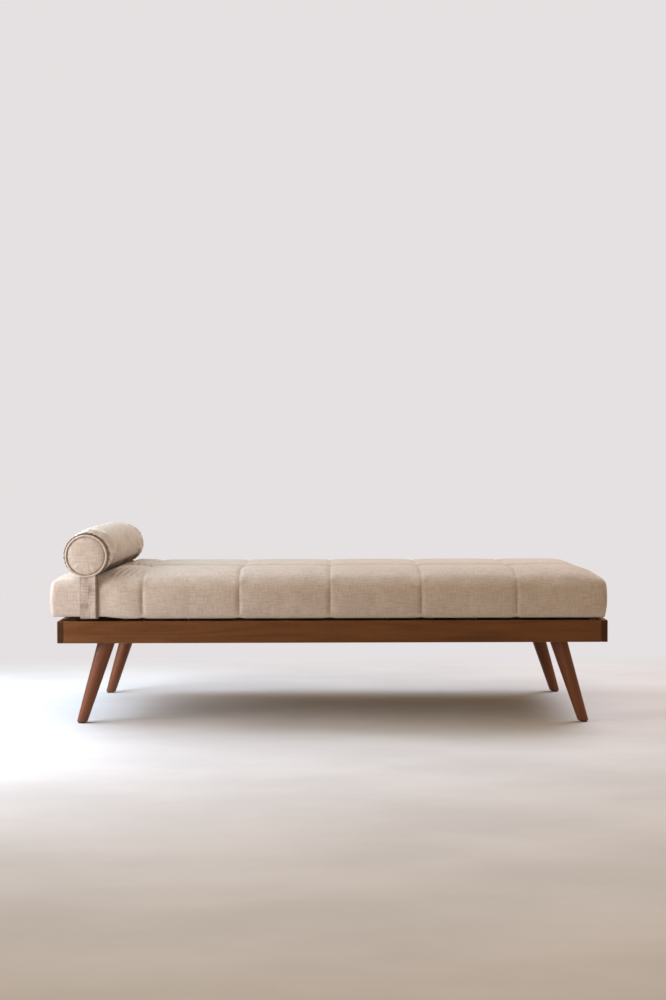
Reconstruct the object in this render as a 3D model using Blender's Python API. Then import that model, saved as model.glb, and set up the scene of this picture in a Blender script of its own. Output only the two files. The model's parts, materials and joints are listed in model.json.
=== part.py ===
"""Upholstered daybed: timber frame on splayed tapered legs, slatted deck, loose mattress and strapped bolster.

Metres, +Z up. The origin is on the floor, under the middle of the mattress. -Y is the front, +X the foot end.
"""
import math

import bpy
from mathutils import Vector

# ---- clearances ----
GAP = 0.0003  # between pieces that touch
BOARD_EDGE = 0.0022  # rounded edge of the show timber
BOARD_EDGE_STEPS = 3
ROUGH_EDGE = 0.0008  # eased edge of the hidden timber

# ---- rail frame ----
FRAME_X = 0.0125  # middle of the frame, which is flush with the mattress at the foot end
FRAME_LENGTH = 1.905
FRAME_DEPTH = 0.762
RAIL_THICK = 0.022
RAIL_HEIGHT = 0.076
RAIL_BOTTOM = 0.285
RAIL_TOP = RAIL_BOTTOM + RAIL_HEIGHT
INNER_X = FRAME_LENGTH / 2 - RAIL_THICK
INNER_Y = FRAME_DEPTH / 2 - RAIL_THICK

# ---- deck ----
DECK_PROUD = 0.012  # the slats stand this far above the rails
DECK_TOP = RAIL_TOP + DECK_PROUD
SLAT_COUNT = 12
SLAT_WIDTH = 0.080
SLAT_THICK = 0.018
SLAT_SEAT = DECK_TOP - SLAT_THICK
CLEAT_WIDTH = 0.022
CLEAT_HEIGHT = 0.025
BEAM_WIDTH = 0.045
BLOCK_SIZE = 0.038
BLOCK_LOW = RAIL_BOTTOM + 0.005
BLOCK_HIGH = SLAT_SEAT - 0.005
BEARER_WIDTH = 0.110
BEARER_THICK = 0.022
BEARER_LOW = RAIL_BOTTOM + 0.015

# ---- legs: each leans out along X only ----
FOOT_X = 0.878  # foot centre from the frame's middle
FOOT_Y = 0.328
LEG_SLOPE = 0.307
LEG_TOP_RADIUS = 0.0300
LEG_FOOT_RADIUS = 0.0180
LEG_SIDES = 32
PLATE_SIZE = 0.060
PLATE_THICK = 0.0025
PLATE_LOW = BEARER_LOW - GAP - PLATE_THICK
LEG_TOP = PLATE_LOW - GAP
GLIDE_HEIGHT = 0.004
GLIDE_RADIUS = 0.0135
GLIDE_CHAMFER = 0.001
BOSS_RADIUS = 0.0085
BOSS_RISE = 0.016
BOSS_HOLE_RADIUS = 0.019
BOLT_RADIUS = 0.0040
BOLT_CLEARANCE = 0.0003
BOLT_IN_LEG = 0.058
BORE_IN_LEG = 0.062
ROUND_SIDES = 20

# ---- mattress ----
MATTRESS_LENGTH = 1.930
MATTRESS_DEPTH = 0.762
CLOTH = 0.002
MATTRESS_LOW = DECK_TOP + GAP
MATTRESS_TOP = 0.541
PRESSED_TOP = 0.5125  # height where the bolster presses the head end down
PRESSED_TO_X = -0.768
PRESSED_FROM_X = -0.722
STRAP_RELIEF = 0.0028  # the underside is lifted this much where the strap runs
RELIEF_TO_X = -0.768
RELIEF_FROM_X = -0.760
ZIP_LENGTH = 1.200
ZIP_HEIGHT = 0.020
ZIP_MIDDLE_Z = 0.452
SLIDER_WIDTH = 0.009
SLIDER_HEIGHT = 0.013
SLIDER_DEPTH = 0.0035
SLIDER_START = ZIP_LENGTH / 2 - 0.012
PULL_WIDTH = 0.006
PULL_DROP = 0.026
PULL_DEPTH = 0.0018

# ---- bolster: its axis runs front to back, turned slightly about Z ----
BOLSTER_X = -0.8270
BOLSTER_Z = 0.5880
BOLSTER_YAW = math.radians(-1.60)
BOLSTER_END_RADIUS = 0.0735
BOLSTER_MID_RADIUS = 0.0880
BOLSTER_BASE = PRESSED_TOP + 0.0010
BOLSTER_HALF = 0.3790
BOLSTER_SIDES = 28
BOLSTER_RINGS = 9
FILL_GAP = 0.001  # the filling stays this far inside the sleeve's facets
PIPING_RADIUS = 0.0035
PIPING_RING = 0.0740
PIPING_SIDES = 8

# ---- strap ----
STRAP_WIDTH = 0.055
STRAP_THICK = 0.0022
STRAP_FRONT_X = -0.8310
STRAP_BACK_X = -0.8100
STRAP_TOP = BOLSTER_BASE - GAP
STRAP_CORNER = 0.004

# ---- colours (linear RGB), roughness ----
WALNUT = ((0.118, 0.041, 0.020), 0.38)
LEG_WALNUT = ((0.150, 0.046, 0.021), 0.34)
DECK_STAIN = ((0.062, 0.030, 0.015), 0.60)
LINEN = ((0.560, 0.490, 0.400), 0.90)
FOAM = ((0.780, 0.740, 0.620), 0.95)
ZINC = ((0.560, 0.560, 0.545), 0.36)
NYLON = ((0.020, 0.019, 0.018), 0.55)


def clear_scene():
    """Remove whatever the scene holds."""
    for obj in list(bpy.data.objects):
        bpy.data.objects.remove(obj, do_unlink=True)


def dress(obj, finish, metallic=0.0):
    """Give an object its own material, from a (colour, roughness) pair."""
    colour, roughness = finish
    material = bpy.data.materials.new(obj.name)
    material.use_nodes = True
    shader = material.node_tree.nodes["Principled BSDF"]
    shader.inputs["Base Color"].default_value = (*colour, 1.0)
    shader.inputs["Roughness"].default_value = roughness
    shader.inputs["Metallic"].default_value = metallic
    obj.data.materials.append(material)
    return obj


def solid(name, points, faces, parent=None):
    """An object from a closed set of faces."""
    mesh = bpy.data.meshes.new(name)
    mesh.from_pydata([tuple(p) for p in points], [], faces)
    mesh.update()
    obj = bpy.data.objects.new(name, mesh)
    bpy.context.collection.objects.link(obj)
    obj.parent = parent
    return obj


def smooth(obj, angle=35.0):
    """Shade a round piece smooth, keeping its edges sharp."""
    obj.data.shade_smooth()
    obj.data.set_sharp_from_angle(angle=math.radians(angle))
    return obj


def guide(obj):
    """Mark a cutter or a shape that only serves another object."""
    obj.hide_render = True
    obj.display_type = "WIRE"
    return obj


def combine(obj, other, operation):
    """Join or cut an object with a guide shape."""
    step = obj.modifiers.new(operation.title(), "BOOLEAN")
    step.operation = operation
    step.solver = "EXACT"
    step.object = guide(other)
    return obj


def block(name, low, high, parent=None):
    """A box between two corners."""
    x0, y0, z0 = low
    x1, y1, z1 = high
    points = [(x, y, z) for z in (z0, z1) for x, y in ((x0, y0), (x1, y0), (x1, y1), (x0, y1))]
    sides = [(i, (i + 1) % 4, (i + 1) % 4 + 4, i + 4) for i in range(4)]
    return solid(name, points, [(3, 2, 1, 0), (4, 5, 6, 7), *sides], parent)


def board(name, low, high, finish, edge=ROUGH_EDGE, steps=1):
    """A length of timber with eased edges, standing where its corners say."""
    middle = [(a + b) / 2 for a, b in zip(low, high)]
    near = [a - m for a, m in zip(low, middle)]
    far = [b - m for b, m in zip(high, middle)]
    obj = block(name, near, far)
    obj.location = middle
    bevel = obj.modifiers.new("Eased edges", "BEVEL")
    bevel.width = edge
    bevel.segments = steps
    return dress(obj, finish)


def prism(name, outline, y_low, y_high):
    """An XZ outline, listed anticlockwise as seen from the front, extruded along Y."""
    count = len(outline)
    points = [(x, y, z) for y in (y_low, y_high) for x, z in outline]
    sides = [(i, i + count, (i + 1) % count + count, (i + 1) % count) for i in range(count)]
    front = tuple(range(count))
    back = tuple(reversed(range(count, 2 * count)))
    return solid(name, points, [front, back, *sides])


def stacked_rings(rings):
    """Faces that skin equal rings of points, each anticlockwise about the way the stack runs."""
    count = len(rings[0])
    faces = []
    for layer in range(len(rings) - 1):
        for i in range(count):
            j = (i + 1) % count
            low = layer * count
            high = low + count
            faces.append((low + i, low + j, high + j, high + i))
    return faces


def capped(name, rings, parent=None):
    """A closed solid from stacked rings, with flat ends."""
    count = len(rings[0])
    last = (len(rings) - 1) * count
    ends = [tuple(reversed(range(count))), tuple(range(last, last + count))]
    return solid(name, [p for ring in rings for p in ring], stacked_rings(rings) + ends, parent)


def leaning_ring(radius, z, sides, level=True, offset=0.0):
    """A ring round the leg axis at height z, cut level or square to the axis."""
    along = Vector((-LEG_SLOPE, 0.0, 1.0)).normalized()
    across = along.orthogonal().normalized()
    third = along.cross(across)
    middle = Vector((-LEG_SLOPE * z, 0.0, z)) + along * offset
    ring = []
    for i in range(sides):
        turn = 2 * math.pi * i / sides
        point = middle + radius * (math.cos(turn) * across + math.sin(turn) * third)
        if level:
            point += along * ((z - point.z) / along.z)
        ring.append(point)
    return ring


def leaning_rod(name, radius, z, start, end, parent, sides=ROUND_SIDES):
    """A round rod on the leg axis, from start to end along it, measured from height z."""
    rings = [leaning_ring(radius, z, sides, False, offset) for offset in (start, end)]
    return smooth(capped(name, rings, parent))


# ---- frame pieces ----
def make_rails():
    """Side rails run full depth; the long rails butt between them."""
    half_length = FRAME_LENGTH / 2
    half_depth = FRAME_DEPTH / 2
    for side, name in ((-1, "side_rail_head"), (1, "side_rail_foot")):
        x_range = sorted((FRAME_X + side * half_length, FRAME_X + side * INNER_X))
        low = (x_range[0], -half_depth, RAIL_BOTTOM)
        high = (x_range[1], half_depth, RAIL_TOP)
        board(name, low, high, WALNUT, BOARD_EDGE, BOARD_EDGE_STEPS)
    for side, name in ((-1, "rail_front"), (1, "rail_back")):
        y_range = sorted((side * half_depth, side * INNER_Y))
        low = (FRAME_X - INNER_X + GAP, y_range[0], RAIL_BOTTOM)
        high = (FRAME_X + INNER_X - GAP, y_range[1], RAIL_TOP)
        board(name, low, high, WALNUT, BOARD_EDGE, BOARD_EDGE_STEPS)


def make_corner_blocks():
    """Glue blocks behind the four butt joints."""
    for side_x, end in ((-1, "head"), (1, "foot")):
        for side_y, face in ((-1, "front"), (1, "back")):
            xs = sorted(FRAME_X + side_x * d for d in (INNER_X - GAP, INNER_X - BLOCK_SIZE))
            ys = sorted(side_y * d for d in (INNER_Y - GAP, INNER_Y - BLOCK_SIZE))
            low = (xs[0], ys[0], BLOCK_LOW)
            board(f"corner_block_{face}_{end}", low, (xs[1], ys[1], BLOCK_HIGH), DECK_STAIN)


def make_cleats():
    """Ledgers inside the long rails, which carry the slat ends."""
    reach = INNER_X - BLOCK_SIZE - GAP
    for side, face in ((-1, "front"), (1, "back")):
        ys = sorted(side * d for d in (INNER_Y - GAP, INNER_Y - CLEAT_WIDTH))
        low = (FRAME_X - reach, ys[0], SLAT_SEAT - CLEAT_HEIGHT)
        board(f"slat_cleat_{face}", low, (FRAME_X + reach, ys[1], SLAT_SEAT), DECK_STAIN)


def make_beam():
    """The lengthwise beam stands on the two bearers, under the middle of the slats."""
    low = (FRAME_X - INNER_X + GAP, -BEAM_WIDTH / 2, BEARER_LOW + BEARER_THICK + GAP)
    board("centre_beam", low, (FRAME_X + INNER_X - GAP, BEAM_WIDTH / 2, SLAT_SEAT), DECK_STAIN)


def make_slats():
    """Evenly spaced slats, standing proud of the rails."""
    pitch = 2 * INNER_X / SLAT_COUNT
    for i in range(SLAT_COUNT):
        x = FRAME_X - INNER_X + pitch * (i + 0.5)
        low = (x - SLAT_WIDTH / 2, -INNER_Y + GAP, SLAT_SEAT + GAP)
        high = (x + SLAT_WIDTH / 2, INNER_Y - GAP, DECK_TOP)
        board(f"slat_{i + 1:02d}", low, high, DECK_STAIN)


def axis_at(z):
    """Distance of a leg axis from the frame's middle along X, at height z."""
    return FOOT_X - LEG_SLOPE * z


def make_bearers():
    """Crosswise boards that carry the legs, each with two holes for the plates' bosses."""
    x = axis_at(BEARER_LOW + BEARER_THICK / 2)
    for side, end in ((-1, "head"), (1, "foot")):
        middle = FRAME_X + side * x
        low = (middle - BEARER_WIDTH / 2, -INNER_Y + GAP, BEARER_LOW)
        high = (middle + BEARER_WIDTH / 2, INNER_Y - GAP, BEARER_LOW + BEARER_THICK)
        bearer = board(f"leg_bearer_{end}", low, high, DECK_STAIN)
        for face in (-1, 1):
            rings = []
            for z in (BEARER_LOW - BEARER_THICK, BEARER_LOW + 2 * BEARER_THICK):
                turns = [2 * math.pi * i / ROUND_SIDES for i in range(ROUND_SIDES)]
                ring = [
                    (
                        middle + BOSS_HOLE_RADIUS * math.cos(turn),
                        face * FOOT_Y + BOSS_HOLE_RADIUS * math.sin(turn),
                        z,
                    )
                    for turn in turns
                ]
                rings.append(ring)
            combine(bearer, capped(f"boss_hole_{end}_{face}", rings), "DIFFERENCE")


# ---- legs ----
def leg_station(name, side_x, side_y):
    """An empty at a foot, turned so that its +X is the way the leg leans out."""
    station = bpy.data.objects.new(name, None)
    bpy.context.collection.objects.link(station)
    station.location = (FRAME_X + side_x * FOOT_X, side_y * FOOT_Y, 0.0)
    station.rotation_euler.z = 0.0 if side_x > 0 else math.pi
    return station


def make_leg(place, station):
    """A round tapered leg, cut level at both ends and bored for its bolt."""
    foot_edge = GLIDE_HEIGHT + GAP
    rings = [
        leaning_ring(LEG_FOOT_RADIUS - 0.0020, foot_edge, LEG_SIDES),
        leaning_ring(LEG_FOOT_RADIUS, foot_edge + 0.0030, LEG_SIDES),
        leaning_ring(LEG_TOP_RADIUS, LEG_TOP, LEG_SIDES),
    ]
    leg = capped(f"leg_{place}", rings, station)
    hole_radius = BOLT_RADIUS + BOLT_CLEARANCE
    bore = leaning_rod(f"leg_bore_{place}", hole_radius, LEG_TOP, -BORE_IN_LEG, 0.03, station)
    combine(leg, bore, "DIFFERENCE")
    dress(smooth(leg), LEG_WALNUT)


def make_leg_plate(place, station):
    """A flat steel plate with a leaning threaded boss welded on top."""
    half = PLATE_SIZE / 2
    middle = -LEG_SLOPE * PLATE_LOW
    turned = []
    for z in (PLATE_LOW, PLATE_LOW + PLATE_THICK):
        corners = [math.radians(45 + 90 * i) for i in range(4)]
        reach = half * math.sqrt(2)
        turned.append([(middle + reach * math.cos(c), reach * math.sin(c), z) for c in corners])
    plate = capped(f"leg_plate_{place}", turned, station)
    boss = leaning_rod(f"boss_{place}", BOSS_RADIUS, PLATE_LOW, 0.0047, BOSS_RISE, station)
    combine(plate, boss, "UNION")
    hole_radius = BOLT_RADIUS + BOLT_CLEARANCE
    hole = leaning_rod(f"boss_bore_{place}", hole_radius, PLATE_LOW, -0.03, 0.05, station)
    combine(plate, hole, "DIFFERENCE")
    dress(smooth(plate), ZINC, 1.0)


def make_leg_bolt(place, station):
    """The hanger bolt that ties a leg to its plate."""
    bolt = leaning_rod(
        f"hanger_bolt_{place}", BOLT_RADIUS, LEG_TOP, -BOLT_IN_LEG, BOSS_RISE, station
    )
    dress(bolt, ZINC, 1.0)


def make_glide(place, station):
    """A nail-on nylon glide under a foot."""
    heights = (0.0, GLIDE_CHAMFER, GLIDE_HEIGHT)
    radii = (GLIDE_RADIUS - GLIDE_CHAMFER, GLIDE_RADIUS, GLIDE_RADIUS)
    turns = [2 * math.pi * i / ROUND_SIDES for i in range(ROUND_SIDES)]
    rings = [[(r * math.cos(t), r * math.sin(t), z) for t in turns] for r, z in zip(radii, heights)]
    glide = capped(f"foot_glide_{place}", rings, station)
    dress(smooth(glide), NYLON)


def make_legs():
    """The four leg sets."""
    for side_x, end in ((-1, "head"), (1, "foot")):
        for side_y, face in ((-1, "front"), (1, "back")):
            place = f"{face}_{end}"
            station = leg_station(f"leg_station_{place}", side_x, side_y)
            make_leg(place, station)
            make_leg_plate(place, station)
            make_leg_bolt(place, station)
            make_glide(place, station)


# ---- mattress ----
def top_line(rise, half_length):
    """The mattress top from the foot end to the head end, moved up by rise."""
    return [
        (half_length, MATTRESS_TOP + rise),
        (PRESSED_FROM_X, MATTRESS_TOP + rise),
        (PRESSED_TO_X, PRESSED_TOP + rise),
        (-half_length, PRESSED_TOP + rise),
    ]


def bottom_line(rise, half_length):
    """The mattress underside from the head end to the foot end, moved up by rise."""
    lifted = MATTRESS_LOW + STRAP_RELIEF
    return [
        (-half_length, lifted + rise),
        (RELIEF_TO_X, lifted + rise),
        (RELIEF_FROM_X, MATTRESS_LOW + rise),
        (half_length, MATTRESS_LOW + rise),
    ]


def make_mattress_core(mattress):
    """The foam block inside the cover."""
    inset = CLOTH + GAP
    half_length = MATTRESS_LENGTH / 2 - inset
    outline = bottom_line(inset, half_length) + top_line(-inset, half_length)
    half_depth = MATTRESS_DEPTH / 2 - inset
    core = prism("mattress_core", outline, -half_depth, half_depth)
    core.parent = mattress
    dress(core, FOAM)


def make_mattress_panels(mattress):
    """The top and bottom panels of the cover, each a single cloth thickness."""
    half_length = MATTRESS_LENGTH / 2
    half_depth = MATTRESS_DEPTH / 2
    top = top_line(-CLOTH, half_length)[::-1] + top_line(0.0, half_length)
    bottom = bottom_line(0.0, half_length) + bottom_line(CLOTH, half_length)[::-1]
    for name, outline in (("mattress_top_panel", top), ("mattress_bottom_panel", bottom)):
        panel = prism(name, outline, -half_depth, half_depth)
        panel.parent = mattress
        dress(panel, LINEN)


def make_mattress_boxing(mattress):
    """The band round the four sides, with the zip's slot in its back."""
    inset = CLOTH + GAP
    half_length = MATTRESS_LENGTH / 2
    half_depth = MATTRESS_DEPTH / 2
    outline = bottom_line(inset, half_length) + top_line(-inset, half_length)
    boxing = prism("mattress_boxing", outline, -half_depth, half_depth)
    boxing.parent = mattress
    low = (CLOTH - half_length, CLOTH - half_depth, MATTRESS_LOW - 0.05)
    high = (half_length - CLOTH, half_depth - CLOTH, MATTRESS_TOP + 0.05)
    combine(boxing, block("boxing_hollow", low, high, mattress), "DIFFERENCE")
    low = (-ZIP_LENGTH / 2, half_depth - 0.01, ZIP_MIDDLE_Z - ZIP_HEIGHT / 2)
    high = (ZIP_LENGTH / 2, half_depth + 0.01, ZIP_MIDDLE_Z + ZIP_HEIGHT / 2)
    combine(boxing, block("zip_slot", low, high, mattress), "DIFFERENCE")
    dress(boxing, LINEN)


def make_zip(mattress):
    """The zip's tape and closed teeth, filling the slot in the boxing."""
    back = MATTRESS_DEPTH / 2
    low = (-ZIP_LENGTH / 2 + GAP, back - CLOTH, ZIP_MIDDLE_Z - ZIP_HEIGHT / 2 + GAP)
    high = (ZIP_LENGTH / 2 - GAP, back, ZIP_MIDDLE_Z + ZIP_HEIGHT / 2 - GAP)
    dress(block("mattress_zip", low, high, mattress), LINEN)


def make_zip_slider(mattress):
    """The slider with its pull; its origin is on the line that it travels along."""
    runner = bpy.data.objects.new("zip_runner", None)
    bpy.context.collection.objects.link(runner)
    runner.parent = mattress
    runner.location = (SLIDER_START, MATTRESS_DEPTH / 2 + GAP, ZIP_MIDDLE_Z)
    low = (-SLIDER_WIDTH / 2, 0.0, -SLIDER_HEIGHT / 2)
    slider = block("zip_slider", low, (SLIDER_WIDTH / 2, SLIDER_DEPTH, SLIDER_HEIGHT / 2), runner)
    low = (-PULL_WIDTH / 2, SLIDER_DEPTH - PULL_DEPTH, -PULL_DROP)
    pull = block("zip_pull", low, (PULL_WIDTH / 2, SLIDER_DEPTH + PULL_DEPTH / 2, 0.0), runner)
    combine(slider, pull, "UNION")
    dress(slider, ZINC, 1.0)


def make_mattress():
    """The loose mattress and its cover."""
    mattress = bpy.data.objects.new("mattress_body", None)
    bpy.context.collection.objects.link(mattress)
    make_mattress_core(mattress)
    make_mattress_panels(mattress)
    make_mattress_boxing(mattress)
    make_zip(mattress)
    make_zip_slider(mattress)


# ---- bolster ----
def bolster_ring(y, radius, base):
    """A ring about the bolster's axis, with its lower half squashed down to the base."""
    squash = min(1.0, (BOLSTER_Z - base) / radius)
    ring = []
    for i in range(BOLSTER_SIDES):
        turn = 2 * math.pi * i / BOLSTER_SIDES
        height = radius * math.cos(turn)
        z = height if height > 0 else height * squash
        ring.append((radius * math.sin(turn), y, z))
    return ring


def barrel(half, inset):
    """Rings of the bolster's barrel shape, from front to back."""
    rings = []
    for i in range(BOLSTER_RINGS):
        share = 2 * i / (BOLSTER_RINGS - 1) - 1
        swell = (BOLSTER_MID_RADIUS - BOLSTER_END_RADIUS) * (1 - share**4)
        ring = bolster_ring(share * half, BOLSTER_END_RADIUS + swell - inset, BOLSTER_BASE + inset)
        rings.append(ring)
    return rings


def make_bolster_filling(parent):
    """The filling, a cloth thickness inside the cover."""
    core = capped("bolster_core", barrel(BOLSTER_HALF - GAP, CLOTH + FILL_GAP), parent)
    dress(smooth(core), FOAM)


def make_bolster_sleeve(parent):
    """The sleeve that wraps the filling, open at both ends."""
    outer = barrel(BOLSTER_HALF, 0.0)
    inner = barrel(BOLSTER_HALF, CLOTH)
    rings = outer + inner[::-1]
    count = BOLSTER_SIDES
    last = (len(rings) - 1) * count
    faces = stacked_rings(rings)
    for i in range(count):
        j = (i + 1) % count
        faces.append((last + i, last + j, j, i))
    sleeve = solid("bolster_sleeve", [p for ring in rings for p in ring], faces, parent)
    dress(smooth(sleeve), LINEN)


def make_bolster_ends(parent):
    """The round end panels, and the piping sewn round each."""
    panel_radius = PIPING_RING - PIPING_RADIUS - GAP
    inner_y = BOLSTER_HALF + GAP
    piping_y = BOLSTER_HALF + 0.0004 + PIPING_RADIUS
    for side, face in ((-1, "front"), (1, "back")):
        ys = sorted((side * inner_y, side * (inner_y + CLOTH)))
        rings = [bolster_ring(y, panel_radius, BOLSTER_BASE) for y in ys]
        panel = capped(f"bolster_end_{face}", rings, parent)
        dress(smooth(panel), LINEN)
        make_piping(f"bolster_piping_{face}", side * piping_y, parent)


def make_piping(name, y, parent):
    """A closed ring of piping, flattened with the bolster's base."""
    loops = []
    for k in range(PIPING_SIDES):
        turn = 2 * math.pi * k / PIPING_SIDES
        radius = PIPING_RING + PIPING_RADIUS * math.cos(turn)
        loops.append(bolster_ring(y + PIPING_RADIUS * math.sin(turn), radius, BOLSTER_BASE))
    count = BOLSTER_SIDES
    last = (PIPING_SIDES - 1) * count
    faces = stacked_rings(loops)
    for i in range(count):
        j = (i + 1) % count
        faces.append((last + i, last + j, j, i))
    piping = solid(name, [p for loop in loops for p in loop], faces, parent)
    dress(smooth(piping, 60.0), LINEN)


def make_strap():
    """One band, sewn to the bolster's two end seams, that passes under the mattress."""
    face_in = MATTRESS_DEPTH / 2 + GAP
    face_out = face_in + STRAP_THICK
    low = DECK_TOP + GAP
    high = low + STRAP_THICK
    outer = [
        (-face_out, STRAP_TOP),
        (-face_out, low + STRAP_CORNER),
        (-face_out + STRAP_CORNER, low),
        (face_out - STRAP_CORNER, low),
        (face_out, low + STRAP_CORNER),
        (face_out, STRAP_TOP),
    ]
    inner_corner = (
        (-face_in, STRAP_TOP),
        (-face_in, high),
        (face_in, high),
        (face_in, STRAP_TOP),
    )
    outline = outer + list(reversed(inner_corner))
    points = []
    for side in (-1, 1):
        for y, z in outline:
            share = (y + face_in) / (2 * face_in)
            middle = STRAP_FRONT_X + (STRAP_BACK_X - STRAP_FRONT_X) * min(max(share, 0.0), 1.0)
            points.append((middle + side * STRAP_WIDTH / 2, y, z))
    count = len(outline)
    sides = [(i, i + count, (i + 1) % count + count, (i + 1) % count) for i in range(count)]
    near = tuple(reversed(range(count)))
    far = tuple(range(count, 2 * count))
    strap = solid("bolster_strap", points, [near, far, *[tuple(reversed(s)) for s in sides]])
    dress(strap, LINEN)


def make_bolster():
    """The bolster, turned slightly about Z, and the strap that holds it to the mattress."""
    bolster = bpy.data.objects.new("bolster_body", None)
    bpy.context.collection.objects.link(bolster)
    bolster.location = (BOLSTER_X, 0.0, BOLSTER_Z)
    bolster.rotation_euler.z = BOLSTER_YAW
    make_bolster_filling(bolster)
    make_bolster_sleeve(bolster)
    make_bolster_ends(bolster)
    make_strap()


def main():
    clear_scene()
    make_rails()
    make_corner_blocks()
    make_cleats()
    make_beam()
    make_slats()
    make_bearers()
    make_legs()
    make_mattress()
    make_bolster()


main()
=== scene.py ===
"""The daybed's looks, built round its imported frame: cloth, timber, metal, floor, light and camera."""
import itertools
import json
import math

import bpy
import numpy as np
from mathutils import Matrix, Vector
from mathutils.bvhtree import BVHTree


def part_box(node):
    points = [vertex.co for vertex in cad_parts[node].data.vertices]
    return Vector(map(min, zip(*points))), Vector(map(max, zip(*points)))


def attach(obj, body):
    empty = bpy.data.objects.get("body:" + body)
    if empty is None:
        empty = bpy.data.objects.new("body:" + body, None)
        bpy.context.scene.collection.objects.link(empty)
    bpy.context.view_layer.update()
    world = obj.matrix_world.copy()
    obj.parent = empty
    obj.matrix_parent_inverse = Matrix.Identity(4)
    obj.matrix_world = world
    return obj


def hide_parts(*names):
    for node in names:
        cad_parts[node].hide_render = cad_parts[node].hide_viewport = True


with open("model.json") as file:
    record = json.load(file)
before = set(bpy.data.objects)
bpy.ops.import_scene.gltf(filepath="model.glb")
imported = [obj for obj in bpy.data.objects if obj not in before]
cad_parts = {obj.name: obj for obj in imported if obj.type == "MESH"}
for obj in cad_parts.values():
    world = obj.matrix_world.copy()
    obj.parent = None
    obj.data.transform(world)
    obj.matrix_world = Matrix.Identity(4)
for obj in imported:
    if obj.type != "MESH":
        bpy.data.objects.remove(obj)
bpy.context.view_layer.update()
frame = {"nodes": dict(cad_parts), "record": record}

NODES = frame["nodes"]
SLOTS = {m["slot"]: m["base_color"] for m in frame["record"]["materials"]}

# ---- mattress ----
SEAMS_X = (-0.645, -0.311, 0.004, 0.320, 0.650)  # sewn channels across the mattress
STEP = 0.009  # spacing of the cloth's grid
BESIDE_SEAM = 0.0035  # a grid line each side of a seam keeps its channel narrow
END_TUCK = 0.004  # the ends draw in this much at the bottom
END_ROUND = 0.013
SIDE_ROUND = 0.030  # the long edges are rounder on top than the ends
TOP_ROUND = 0.032
LOW_ROUND = 0.014
EDGE_Z = 0.502  # height of the cover's top at its rim, before it crowns
CROWN = 0.032
END_REACH = 0.080  # how far in from an end the crown reaches its height
SIDE_REACH = 0.110
CROWN_SOFT = 0.40
PAD_RISE = 0.0015
SEAM_DIP = 0.0008
MIDDLE_DIP = 0.018
BACK_ROW_LOSS = 0.15  # the back row of pads is flatter by this share
SIDE_BULGE = 0.0042
TOP_CAP = 0.0042  # how far the simulation may move the top
SIDE_CAP = 0.0018
PRESSED_LIFT = 0.0016  # the pressed cloth lies this far above the top panel's base
HUG = 0.059  # from the bolster's middle line to where it leaves the mattress
NEAR_BOLSTER = 0.16
CREVICE_RISE = 0.022  # the mattress swells up beside the bolster by this much at once
CREVICE_ROLL = 0.007  # in a roll that hugs it
PRESS_RISE = 0.016  # and by this much more over a longer way
PRESS_RAMP = 0.20
CLEAR = 0.0014
FOLD_HEIGHT = 0.0028
FOLD_LENGTH = 0.024
FOLD_FAN = 0.20
CHANNEL_DEPTH = 0.0024
CHANNEL_HALF = 0.0135
CREASE_DEPTH = 0.0008
CREASE_HALF = 0.0040
HEM_DIP = 0.0055  # the lower edge hangs this much between channels

# ---- bolster ----
BOLSTER_SIDES = 128
DISC_RINGS = 14
SLEEVE_RINGS = 84
SLEEVE_RADIUS = 0.088  # at the bolster's middle
RIM_RADIUS = 0.0712
RIM_STEP = 0.0072  # the sleeve's end stands past the round panel by this much
SLEEVE_SWELL = 0.0058
DISC_RECESS = 0.0018
DISC_CROWN = 0.0085
DISC_CAP = 0.003
SLEEVE_CAP = 0.009
PIPING_LOOP = 0.0700
PIPING_RADIUS = 0.0034
PIPING_OUT = 0.0039  # past the round panel's seam
PLEAT_HEIGHT = 0.0011
GATHER_HEIGHT = 0.0019
GATHER_REACH = 0.026
PIPING_STEPS = 128
PIPING_SIDES = 10

# ---- cloth ----
CLOTH_FRAMES = 18
CLOTH = {
    "quality": 5,
    "mass": 0.3,
    "tension_stiffness": 15,
    "compression_stiffness": 15,
    "shear_stiffness": 5,
    "bending_stiffness": 0.8,
    "air_damping": 2,
    "use_pressure": True,
    "uniform_pressure_force": 4.0,
    "pin_stiffness": 1.0,
}
PAINTED_CREASE_SHADE = (0.42, 0.34, 0.28)  # painted shade: the cloth's colour is multiplied by this in a crease
PAINTED_DEEPEST_SHADE = (0.20, 0.18, 0.18)  # and by this too where the painted shade lies deepest

# ---- zip ----
STRIP_CUTS = 60
TAPE_HALF = 0.0006
LIP_OFF = 0.0105  # from the zip's middle line to the middle of a lip
LIP_HALF = 0.0050
LIP_RISE = 0.0023
LIP_PAST = 0.004
LIP_STITCH = 0.0195
TEETH_INSET = 0.006
TEETH_PITCH = 0.0026
BLOCK_SIDES = ((0, 1, 3, 2), (4, 6, 7, 5), (0, 4, 5, 1), (2, 3, 7, 6), (0, 2, 6, 4), (1, 5, 7, 3))

# ---- screws ----
SCREW_RADIUS = 0.0036
HEAD_RINGS = 7
HEAD_SIDES = 32
PLATE_HOLE = 0.0243  # from the plate's middle, both ways
SLAT_HOLE = 0.021  # from the slat's middle line

# ---- legs ----
LEG_TOP = 0.0300
LEG_FOOT = 0.0180
LEG_SIDES = 64
LEG_TOE = [(0.0, -0.0030), (0.0008, -0.0012), (0.0024, -0.0002), (0.0045, 0.0)]  # height, inset

# ---- strap ----
STRAP_WIDTH = 0.063
STRAP_THICK = 0.0022
STRAP_CORNER = 0.007
STRAP_DIP = 0.0035
STRAP_CELLS = 10

FLOOR_REACH = 9.0


# ---- small helpers ----
def soft_step(t):
    """0 below 0, 1 above 1, smooth between."""
    t = np.clip(t, 0.0, 1.0)
    return t * t * (3.0 - 2.0 * t)


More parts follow.
